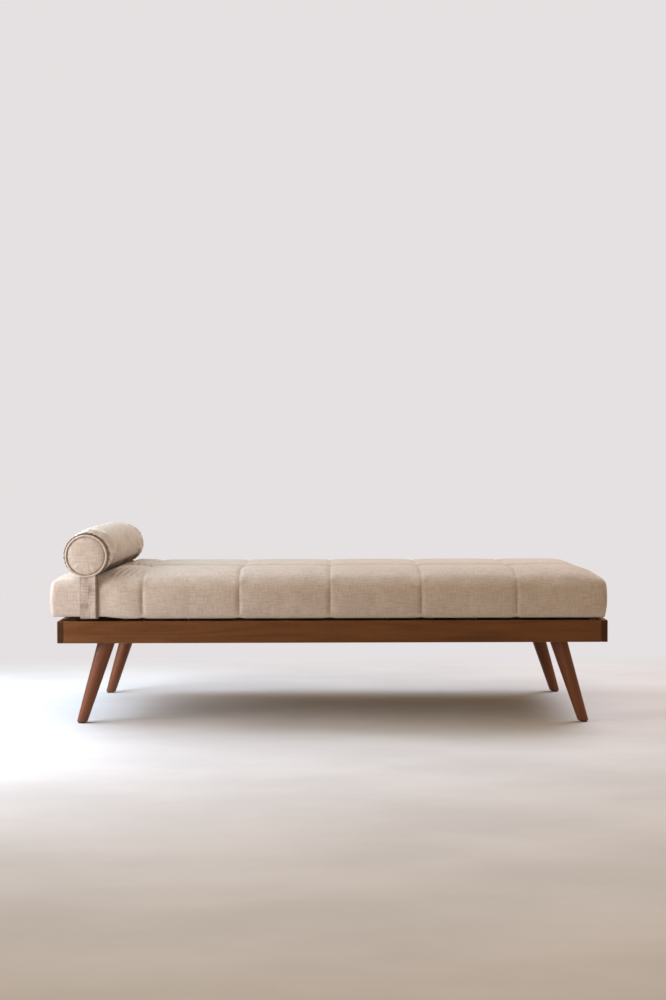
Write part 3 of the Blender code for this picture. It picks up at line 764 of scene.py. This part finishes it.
def make_mattress():
    """The sewn cover over its foam: two rows of six pads with channels between."""
    low, high = (np.array(corner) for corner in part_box("mattress_boxing"))
    low[2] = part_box("mattress_bottom_panel")[0].z
    high[2] = EDGE_Z
    xs = grid_lines(low[0], high[0], SEAMS_X, STEP)
    ys = grid_lines(low[1], high[1], (0.0,), STEP)
    zs = list(np.linspace(low[2], high[2], 1 + round((high[2] - low[2]) / STEP)))
    grid, faces, cloth = box_skin(xs, ys, zs)
    gx, gy, gz = grid.T
    shape = round_off(grid, low, high)
    on_top = soft_step((gz - (high[2] - TOP_ROUND)) / TOP_ROUND)
    pad_x = pad_share(gx, (low[0], *SEAMS_X, high[0]))
    pad_y = pad_share(gy, (low[1], 0.0, high[1]))
    seam_x = nearest(gx, SEAMS_X)
    from_end = np.minimum(gx - low[0], high[0] - gx)
    from_side = np.minimum(gy - low[1], high[1] - gy)
    rise = soft_min(from_end / END_REACH, 1.0, CROWN_SOFT) * soft_min(from_side / SIDE_REACH, 1.0, CROWN_SOFT)
    in_back = soft_step(gy / 0.12 + 0.5)
    row = 1.0 - BACK_ROW_LOSS * in_back
    lift = CROWN * rise * row + PAD_RISE * row * pad_x * pad_y
    lift -= SEAM_DIP * rise * np.exp(-((seam_x / 0.028) ** 2))
    # the front row slopes a long way down to the middle seam, the back row meets it more steeply
    slope = np.where(gy < 0, (np.abs(gy) / 0.085) ** 1.3, (gy / 0.026) ** 2)
    lift -= MIDDLE_DIP * rise * np.exp(-slope)
    shape[:, 2] += lift * on_top

    # the head end lies pressed under the bolster, and swells up beside it
    above = BVHTree.FromPolygons(
        [bolster.matrix_world @ v.co for v in bolster.data.vertices],
        [tuple(p.vertices) for p in bolster.data.polygons],
    )
    lean = math.tan(-bolster_yaw)
    edge = bolster_centre.x + HUG + lean * gy
    beside = gx - edge
    inward = soft_step((gy - low[1]) / 0.10) * soft_step((high[1] - gy) / 0.10)
    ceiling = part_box("mattress_top_panel")[0].z + PRESSED_LIFT
    ceiling = ceiling + CREVICE_RISE * inward * soft_step((beside + 0.024) / 0.034)
    ceiling += CREVICE_ROLL * inward * bell(beside - 0.024, 0.030)
    ceiling += (PRESS_RISE + CREVICE_RISE * (1.0 - inward)) * soft_step(beside / PRESS_RAMP)
    ceiling = np.where(beside > PRESS_RAMP, 1.0, ceiling)
    shape[:, 2] = np.where(on_top > 0, soft_min(shape[:, 2], ceiling, 0.006), shape[:, 2])

    # the sides swell between the channels, except in the strap's path and along the zip
    zip_low, zip_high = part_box("mattress_zip")
    on_side = np.abs(gy) > high[1] - 1e-6
    span = np.clip((gz - low[2]) / (high[2] - low[2]), 0.0, 1.0)
    swell = np.sin(math.pi * span) ** 0.7 * (gz < high[2]) * (gz > low[2])
    clear = soft_step((gx + 0.775) / 0.08)
    by_zip = on_side & (gy > 0) & (np.abs(gx) < zip_high.x + 0.03)
    by_zip &= (gz > zip_low.z - 0.010) & (gz < zip_high.z + 0.010)
    shape[:, 1] += np.sign(gy) * on_side * ~by_zip * swell * clear * SIDE_BULGE * pad_x
    ends = np.sign(gx) * (np.abs(gx) > high[0] - 1e-6)
    shape[:, 0] += ends * swell * SIDE_BULGE * pad_y
    shape[:, 0] -= ends * END_TUCK * (1.0 - soft_step(span / 0.35))

    # the lower edge hangs a little past the slats, less at the channels
    overhang = soft_step((np.abs(gy) - 0.352) / 0.02) * (1.0 - soft_step((gz - low[2]) / 0.07))
    shape[:, 2] -= overhang * clear * HEM_DIP * (1.0 - 0.45 * np.exp(-((seam_x / 0.012) ** 2)))
    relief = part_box("bolster_strap")[0].z + 0.003
    strap_path = (gx < -0.763) & (gz < low[2] + 0.02)
    shape[:, 2] = np.where(strap_path, np.maximum(shape[:, 2], relief), shape[:, 2])
    near_bolster = (gx < bolster_centre.x + NEAR_BOLSTER) & (on_top > 0.3)
    keep_under(shape, above, np.nonzero(near_bolster)[0])

    mattress = mesh_piece("mattress", shape, faces, cloth)
    on_seam = (seam_x < 1e-5) | (np.abs(gy) < 1e-5)
    under = (beside < -0.010) & (on_top > 0.4)
    held = on_seam | (gz < low[2] + 1e-6) | under | (on_side & (gx < -0.76)) | by_zip
    hold = np.where(held, 1.0, 0.0)
    inflate(mattress, hold, 0.02, np.where(on_top > 0.5, TOP_CAP * (1.0 - 0.45 * in_back), SIDE_CAP))
    relax(mattress, 0.5, 7, hold)
    subdivide(mattress)

    # sewn channels, and no cloth through the bolster
    points = points_of(mattress)
    sewn = soft_step((points[:, 2] - low[2] - 0.004) / 0.012)
    gap = np.minimum(nearest(points[:, 0], SEAMS_X), np.abs(points[:, 1]))
    above_rim = soft_step((points[:, 2] - EDGE_Z) / 0.024)
    depth = CHANNEL_DEPTH * bell(gap, CHANNEL_HALF) + CREASE_DEPTH * bell(gap, CREASE_HALF)
    points -= points_of(mattress, "normal") * (depth * sewn * (1.0 - 0.4 * above_rim))[:, None]

    # loose cloth gathers in folds beside the bolster
    reach_in = points[:, 1] - low[1]
    beside = points[:, 0] - bolster_centre.x - HUG - lean * points[:, 1]
    window = soft_step((beside - 0.010) / 0.02) * (1.0 - soft_step((beside - 0.060) / 0.09))
    window *= soft_step((reach_in - 0.012) / 0.04) * above_rim
    across = (beside - FOLD_FAN * reach_in) / FOLD_LENGTH + 0.35 * np.sin(points[:, 1] * 13.0)
    wave = np.sin(2.0 * math.pi * across)
    points[:, 2] += FOLD_HEIGHT * window * wave
    near_bolster = (points[:, 0] < bolster_centre.x + NEAR_BOLSTER) & (points[:, 2] > 0.48)
    keep_under(points, above, np.nonzero(near_bolster)[0])
    set_points(mattress, points)

    # painted shade and shadow: darker in the channels, along the bolster where it rests, down the upright
    # corners and in the folds
    crease = 0.32 * sewn * bell(gap, CREASE_HALF + 0.0012) * (1.0 - 0.7 * above_rim)
    middle_line = 0.45 * bell(points[:, 1], 0.045) * above_rim
    hugged = bolster_centre.x + 0.080 + lean * points[:, 1]
    crevice = 0.50 * bell(points[:, 0] - hugged, 0.013) * above_rim
    corner = soft_step((np.abs(points[:, 0]) - high[0] + 0.010) / 0.008)
    corner *= 0.30 * soft_step((np.abs(points[:, 1]) - high[1] + 0.016) / 0.010) * sewn * (1.0 - above_rim)
    folds = 0.45 * window * soft_step(-wave)
    paint_crease_shade(mattress, np.maximum.reduce([crease, middle_line, crevice, corner, folds]))
    stands_for = ("mattress_core", "mattress_top_panel", "mattress_boxing", "mattress_bottom_panel")
    place_piece(mattress, LINEN, "linen", "mattress", *stands_for)
    return mattress


mattress = make_mattress()


# ---- stitching ----
def capsule(start, end, out, radius):
    """A short stitch lying from start to end: a six-sided bead, thinner at its ends."""
    side = (end - start).normalized().cross(out).normalized()
    rings = []
    for share, scale in ((0.0, 0.35), (0.2, 0.9), (0.5, 1.0), (0.8, 0.9), (1.0, 0.35)):
        middle = start.lerp(end, share) + out * radius * (scale - 0.6)
        reach = radius * scale
        rings.append([middle + reach * (math.cos(t) * side - math.sin(t) * out) for t in round_turns(6)])
    return skin_rings(rings, start=True, end=True)


def sew(name, routes, pitch, length, radius):
    """Stitches along routes of (point, outward direction), joined as one piece on the mattress."""
    stitches = []
    for route in routes:
        ways = [p for p, _ in route]
        far = np.concatenate(([0.0], np.cumsum([(b - a).length for a, b in zip(ways, ways[1:])])))
        for spot in np.arange(pitch / 2, far[-1] - length, pitch):
            ends = []
            for place in (spot, spot + length):
                i = int(np.clip(np.searchsorted(far, place) - 1, 0, len(ways) - 2))
                share = (place - far[i]) / max(far[i + 1] - far[i], 1e-9)
                ends.append(ways[i].lerp(ways[i + 1], float(share)))
            stitches.append(capsule(ends[0], ends[1], route[i][1], radius))
    piece = mesh_piece(name, *joined(stitches))
    place_piece(piece, THREAD, "linen", "mattress")


def channel_route(axis, value):
    """The line of a sewn channel round the cover: its points and outward directions, in order."""
    points = points_of(mattress)
    out = points_of(mattress, "normal")
    other = 1 - axis
    on_line = np.nonzero((np.abs(points[:, axis] - value) < 0.0008) & (points[:, 2] > 0.392))[0]
    order = np.arctan2(points[on_line, 2] - 0.43, points[on_line, other])
    rows = on_line[np.argsort(-order)]
    route = []
    for i in rows:
        way = out[i].copy()
        way[axis] = 0.0
        place = Vector(points[i])
        place[axis] = value
        route.append((place, Vector(way).normalized()))
    return route


channels = [channel_route(0, x) for x in SEAMS_X] + [channel_route(1, 0.0)]
sew("channel_stitching", channels, 0.0058, 0.0042, 0.00042)


# ---- zip ----
def prism(outline, low_x, high_x):
    """A strip along X with the same (y, z) outline all the way, and its cloth coordinates."""
    ways = [low_x + (high_x - low_x) * i / STRIP_CUTS for i in range(STRIP_CUTS + 1)]
    around = [0.0]
    for a, b in zip(outline, outline[1:] + outline[:1]):
        around.append(around[-1] + math.dist(a, b))
    rings = [[(x, y, z) for y, z in outline] for x in ways]
    return skin_rings(rings, lambda i, k: (ways[i] + 12.0, around[k]), True, True)


def make_zip():
    """The zip in the cover's back: its tape, the folded lips of cloth beside it, and its teeth."""
    low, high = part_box("mattress_zip")
    back = high.y
    middle = (low.z + high.z) / 2
    tape_outline = [
        (back + TAPE_HALF / 2, low.z),
        (back + TAPE_HALF, middle),
        (back + TAPE_HALF / 2, high.z),
        (back - TAPE_HALF, high.z),
        (back - TAPE_HALF, low.z),
    ]
    tape = mesh_piece("zip_tape", *prism(tape_outline, low.x, high.x), sharp=40.0)
    place_piece(tape, TAPE, "zip_tape", "mattress", "mattress_zip")
    for label, turned in (("upper", 1.0), ("lower", -1.0)):
        outline = []
        for turn in np.linspace(0.0, math.pi, 9):
            height = LIP_OFF - LIP_HALF * math.cos(turn)
            outline.append((back - 0.0004 + LIP_RISE * math.sin(turn), middle + turned * height))
        if turned < 0:
            outline.reverse()
        skin = prism(outline, low.x - LIP_PAST, high.x + LIP_PAST)
        lip = mesh_piece(f"zip_lip_{label}", *skin, sharp=50.0)
        place_piece(lip, LINEN, "linen", "mattress")
    blocks = []
    count = int((high.x - low.x - 2 * TEETH_INSET) / TEETH_PITCH)
    for k in range(2 * count):
        x = low.x + TEETH_INSET + k * TEETH_PITCH / 2
        z = middle + (0.0007 if k % 2 else -0.0007)
        tooth = []
        for dx, dy, dz in itertools.product((-1, 1), (0, 1), (-1, 1)):
            narrow = 0.7 if dy else 1.0
            place = (x + dx * 0.00052 * narrow, back + 0.0004 + dy * 0.0012, z + dz * 0.0013 * narrow)
            tooth.append(place)
        blocks.append((tooth, BLOCK_SIDES))
    teeth = mesh_piece("zip_teeth", *joined(blocks), smooth=False)
    place_piece(teeth, ZIP_METAL, "zip_metal", "mattress")
    ways = np.linspace(low.x - LIP_PAST, high.x + LIP_PAST, 41)
    out = Vector((0.0, 1.0, 0.0))
    heights = (middle + LIP_STITCH, middle - LIP_STITCH)
    routes = [[(Vector((x, back + 0.0003, z)), out) for x in ways] for z in heights]
    sew("zip_stitching", routes, 0.0052, 0.0036, 0.00038)


def rounded_plate(width, height, radius, steps=5):
    """A rounded rectangle's outline, as (x, z) pairs."""
    outline = []
    for cx, cz, start in ((1, 1, 0), (-1, 1, 90), (-1, -1, 180), (1, -1, 270)):
        for k in range(steps + 1):
            turn = math.radians(start + 90 * k / steps)
            x = cx * (width / 2 - radius) + radius * math.cos(turn)
            z = cz * (height / 2 - radius) + radius * math.sin(turn)
            outline.append((x, z))
    return outline


def make_slider():
    """The zip's slider: a crowned body with a bridge, and a flat pull hanging from it."""
    low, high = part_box("zip_slider")
    x = (low.x + high.x) / 2
    middle = high.z - 0.0065

    def plate(width, height, radius, z, y_low, y_high, inset):
        """A rounded plate, its outer edge eased by inset."""
        outline = rounded_plate(width, height, radius)[::-1]
        rings = []
        for y, shrink in ((y_low, 0.0), (y_high - inset, 0.0), (y_high, inset)):
            scales = [1.0 - shrink / math.hypot(*p) for p in outline]
            rings.append([(x + p[0] * s, low.y + y, z + p[1] * s) for p, s in zip(outline, scales)])
        return skin_rings(rings, start=True, end=True)

    plates = (
        plate(0.0085, 0.0125, 0.0022, middle, 0.0004, 0.0026, 0.0006),
        plate(0.0026, 0.0082, 0.0010, middle, 0.0024, 0.0038, 0.0005),
        plate(0.0060, 0.0200, 0.0018, middle - 0.0135, 0.0030, 0.0041, 0.0004),
        plate(0.0038, 0.0050, 0.0012, middle - 0.0200, 0.0038, 0.0044, 0.0003),
    )
    slider = mesh_piece("zip_pull_slider", *joined(plates), sharp=35.0)
    place_piece(slider, ZIP_METAL, "zip_metal", "zip_runner", "zip_slider")


make_zip()
make_slider()


# ---- screws ----
def screw_head(place, down, radius, rise):
    """A low domed head with a cross recess, facing up or down."""
    facing = -1.0 if down else 1.0
    rings = []
    for ring in range(1, HEAD_RINGS + 1):
        reach = ring / HEAD_RINGS
        heads = []
        for turn in round_turns(HEAD_SIDES):
            px, py = reach * math.cos(turn), -reach * math.sin(turn)
            z = rise * math.sqrt(1.0 - (0.92 * reach) ** 2)
            if min(abs(px), abs(py)) < 0.16 and reach < 0.62:
                z -= 0.0009
            heads.append(place + Vector((radius * px, facing * radius * py, facing * z)))
        rings.append(heads)
    rings.append([Vector((p.x, p.y, place.z - facing * 0.0003)) for p in rings[-1]])
    points, faces, _ = skin_rings(rings, end=True)
    middle = len(points)
    points.append(place + Vector((0.0, 0.0, facing * (rise - 0.0010))))
    faces.extend((middle, (k + 1) % HEAD_SIDES, k) for k in range(HEAD_SIDES))
    return points, faces


def make_screws(name, places, down, radius, rise, finish):
    """A set of screw heads as one piece on the frame."""
    heads = [screw_head(place, down, radius, rise) for place in places]
    screws = mesh_piece(name, *joined(heads), sharp=32.0)
    place_piece(screws, finish, "zinc_steel", "frame")


def place_screws():
    """Four screws under each leg plate, and two at each end of each slat."""
    under = []
    on_slats = []
    cleat_y = sum(corner.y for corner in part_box("slat_cleat_back")) / 2
    for node in NODES:
        low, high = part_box(node)
        middle = (low + high) / 2
        for dx, dy in itertools.product((-1, 1), (-1, 1)):
            if node.startswith("leg_plate"):
                under.append(Vector((middle.x + dx * PLATE_HOLE, middle.y + dy * PLATE_HOLE, low.z)))
            elif node.startswith("slat_") and not node.startswith("slat_cleat"):
                on_slats.append(Vector((middle.x + dx * SLAT_HOLE, dy * cleat_y, high.z)))
    make_screws("plate_screws", under, True, SCREW_RADIUS, 0.0016, ZINC)
    make_screws("slat_screws", on_slats, False, SCREW_RADIUS, 0.0002, SCREW_BLACK)


place_screws()


# ---- legs ----
def make_leg(place):
    """A round tapered leg, turned about its own leaning axis."""
    low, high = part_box(f"leg_{place}")
    y = (low.y + high.y) / 2
    ends, out = ((high.x, low.x), 1.0) if place.endswith("foot") else ((low.x, high.x), -1.0)
    foot = Vector((ends[0] - out * LEG_FOOT, y, low.z))
    top = Vector((ends[1] + out * LEG_TOP, y, high.z))
    axis = (top - foot).normalized()
    across = Vector((0.0, 1.0, 0.0)).cross(axis).normalized()
    third = axis.cross(across)
    turn_to = Matrix((across, third, axis)).transposed().to_4x4()
    turn_to.translation = foot
    back = turn_to.inverted()
    span = top.z - foot.z
    profile = LEG_TOE + [(span * i / 12, 0.0) for i in range(1, 13)]
    rings = []
    for height, inset in profile:
        share = height / span
        radius = LEG_FOOT + (LEG_TOP - LEG_FOOT) * share + inset
        middle = foot.lerp(top, share)
        ring = []
        for turn in round_turns(LEG_SIDES):
            point = middle + radius * (math.cos(turn) * across + math.sin(turn) * third)
            ring.append(back @ (point + axis * ((middle.z - point.z) / axis.z)))
        rings.append(ring)
    leg = mesh_piece(f"turned_leg_{place}", *skin_rings(rings, start=True, end=True), sharp=50.0)
    leg.matrix_world = turn_to
    place_piece(leg, LEG_WOOD, "leg_walnut", "frame", f"leg_{place}")


for place in ("front_head", "front_foot", "back_head", "back_foot"):
    make_leg(place)


# ---- strap ----
def strap_run(low, high):
    """The strap's way as (y, z): down the front, under the mattress, and up the back."""
    half = (high.y - low.y) / 2 - STRAP_THICK / 2
    bottom = low.z + STRAP_THICK / 2
    top = high.z + 0.006
    run = []
    for share in np.linspace(0.0, 1.0, 25):
        run.append((-half - 0.0012 * math.sin(math.pi * share), top - (top - bottom - STRAP_CORNER) * share))
    for turn in np.linspace(0.0, math.pi / 2, 6)[1:]:
        z = bottom + STRAP_CORNER - (STRAP_CORNER + STRAP_DIP) * math.sin(turn)
        run.append((-half + STRAP_CORNER * (1 - math.cos(turn)), z))
    down = list(run)
    inner = half - STRAP_CORNER
    for y in np.linspace(-inner, inner, 97)[1:-1]:
        run.append((y, bottom - STRAP_DIP * (1.0 - soft_step((inner - abs(y)) / 0.024))))
    return run + [(-y, z) for y, z in reversed(down)], half, bottom


def make_strap():
    """The band sewn to the bolster's end seams, which passes under the mattress."""
    low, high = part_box("bolster_strap")
    front_x, back_x = low.x + 0.0310, high.x - 0.0250
    run, half, bottom = strap_run(low, high)
    lengths = np.concatenate(([0.0], np.cumsum([math.dist(a, b) for a, b in zip(run, run[1:])])))
    cells = STRAP_CELLS
    around = [(c, 1) for c in range(cells + 1)] + [(c, -1) for c in reversed(range(cells + 1))]
    rings = []
    shades = []
    for n, (y, z) in enumerate(run):
        a = run[max(n - 1, 0)]
        b = run[min(n + 1, len(run) - 1)]
        way = Vector((0.0, b[0] - a[0], b[1] - a[1])).normalized()
        out = Vector((0.0, way.z, -way.y))
        middle = front_x + (back_x - front_x) * float(np.clip(y + half, 0.0, 2 * half)) / (2 * half)
        # the strap's painted shade: darker low down on its left part, along its fold, and a little along its
        # left edge; a painted shadow down its right edge
        lower = soft_step((0.45 - z) / 0.04)
        ring = []
        for c, side in around:
            across = c / cells * 2 - 1
            crease = 0.0
            shade = 0.4 * lower * soft_step((0.3 - across) / 0.4)
            if z > bottom + 0.02:
                line = across + 0.15 - 0.30 * math.sin(45.0 * (z - 0.43))
                crease = 0.0018 * math.exp(-((line / 0.30) ** 2))
                crease += 0.0007 * math.sin(31.0 * across + 160.0 * z) * math.sin(70.0 * z + 1.0)
                fold = math.exp(-(((line - 0.12) / 0.28) ** 2)) * (0.65 + 0.35 * math.sin(110.0 * z))
                shade = max(shade, 0.65 * fold)
            shades.append(max(shade, 1.55 * (across > 0.70), 0.35 * (across < -0.90)))
            push = side * (STRAP_THICK / 2 + 0.0003 * (abs(across) > 0.75)) + crease
            ring.append(Vector((middle + across * STRAP_WIDTH / 2, y, z)) - out * push)
        rings.append(ring)

    def cloth_at(n, k):
        """The outer face runs from 10.1 to its width past it; the inner face goes on from there."""
        share = (2 * cells + (k > cells) - k) / cells
        past = STRAP_THICK if k <= cells else 0.0
        return share * STRAP_WIDTH + past + 10.1, lengths[n]

    skin = skin_rings(rings, cloth_at, start=True, end=True)
    strap = mesh_piece("strap", *skin, sharp=60.0)
    paint_crease_shade(strap, shades)
    place_piece(strap, LINEN_STRAP, "linen", "bolster", "bolster_strap")


make_strap()


# ---- floor, light, camera ----
def make_stage():
    """A plain pale floor, which fades out far from the object."""
    corners = [(x * FLOOR_REACH, y * FLOOR_REACH, 0.0) for x, y in ((-1, -1), (1, -1), (1, 1), (-1, 1))]
    floor = mesh_piece("floor", corners, [(0, 1, 2, 3)])
    material, tree, shader = new_material("pale_floor")
    where = add(tree, "ShaderNodeTexCoord").outputs["Object"]
    cloud = noise_at(where, (1.5, 3.0, 1.0), 4.0)
    colour = mix_colour(ramp(cloud, 0.3, 0.7), (0.63, 0.62, 0.62), (0.71, 0.70, 0.70))
    feed(shader, {"Base Color": colour, "Roughness": 0.85})
    place = add(tree, "ShaderNodeSeparateXYZ", {0: where})
    depth = place.outputs["Y"]
    far = maths("MAXIMUM", ramp(depth, 0.55, 1.5), ramp(depth, -3.1, -4.6))
    far = maths("MAXIMUM", far, ramp(maths("ABSOLUTE", place.outputs["X"]), 1.9, 3.4))
    clear = add(tree, "ShaderNodeBsdfTransparent").outputs[0]
    fade = add(tree, "ShaderNodeMixShader", {0: far, 1: shader.outputs[0], 2: clear}).outputs[0]
    feed(tree.nodes["Material Output"], {"Surface": fade})
    dress(floor, material)


def make_area(name, place, target, size, power, colour):
    """A rectangular soft light aimed at a point."""
    data = bpy.data.lights.new(name, "AREA")
    data.shape = "RECTANGLE"
    data.size, data.size_y = size
    data.energy = power
    data.color = colour
    lamp = new_object(name, data)
    lamp.location = place
    lamp.rotation_euler = (Vector(target) - Vector(place)).to_track_quat("-Z", "Y").to_euler()


def make_light():
    """Soft daylight from the left and from above, with a warm even fill."""
    near_head = (-0.6, 0.0, 0.45)
    make_area("key", (-2.2, -1.3, 1.0), near_head, (1.2, 1.2), 20.1, (0.935, 0.915, 1.0))
    make_area("low_window", (-1.9, -0.5, 0.9), (-0.7, 0.0, 0.5), (1.0, 1.0), 23.7, (0.81, 0.88, 1.0))
    make_area("high_window", (-1.7, 0.3, 1.9), near_head, (1.4, 1.4), 35.7, (0.52, 0.78, 1.0))
    make_area("ceiling", (1.8, 1.0, 2.6), (-0.4, 0.0, 0.4), (2.0, 1.6), 68.3, (0.84, 0.87, 1.0))
    world = bpy.data.worlds.new("studio")
    bpy.context.scene.world = world
    world.use_nodes = True
    tree = world.node_tree
    fill = tree.nodes["Background"]
    feed(fill, {"Color": (1.0, 0.725, 0.437, 1.0), "Strength": 0.51})
    backdrop = add(tree, "ShaderNodeBackground", {"Color": (0.785, 0.752, 0.758, 1.0), "Strength": 1.0})
    seen = add(tree, "ShaderNodeLightPath").outputs["Is Camera Ray"]
    ends = {0: seen, 1: fill.outputs[0], 2: backdrop.outputs[0]}
    both = add(tree, "ShaderNodeMixShader", ends).outputs[0]
    feed(tree.nodes["World Output"], {"Surface": both})


def make_camera():
    """The camera stands in front, a little above the bolster, and looks slightly down."""
    data = bpy.data.cameras.new("camera")
    data.lens = 52.2
    camera = new_object("camera", data)
    tilt = Matrix.Rotation(math.radians(90.0 - 1.659), 4, "X")
    roll = Matrix.Rotation(math.radians(-0.164), 4, "Z")
    camera.matrix_world = Matrix.Translation((0.0159, -5.380, 0.9238)) @ tilt @ roll
    bpy.context.scene.camera = camera


make_stage()
make_light()
make_camera()
bpy.context.scene.view_settings.view_transform = "Standard"
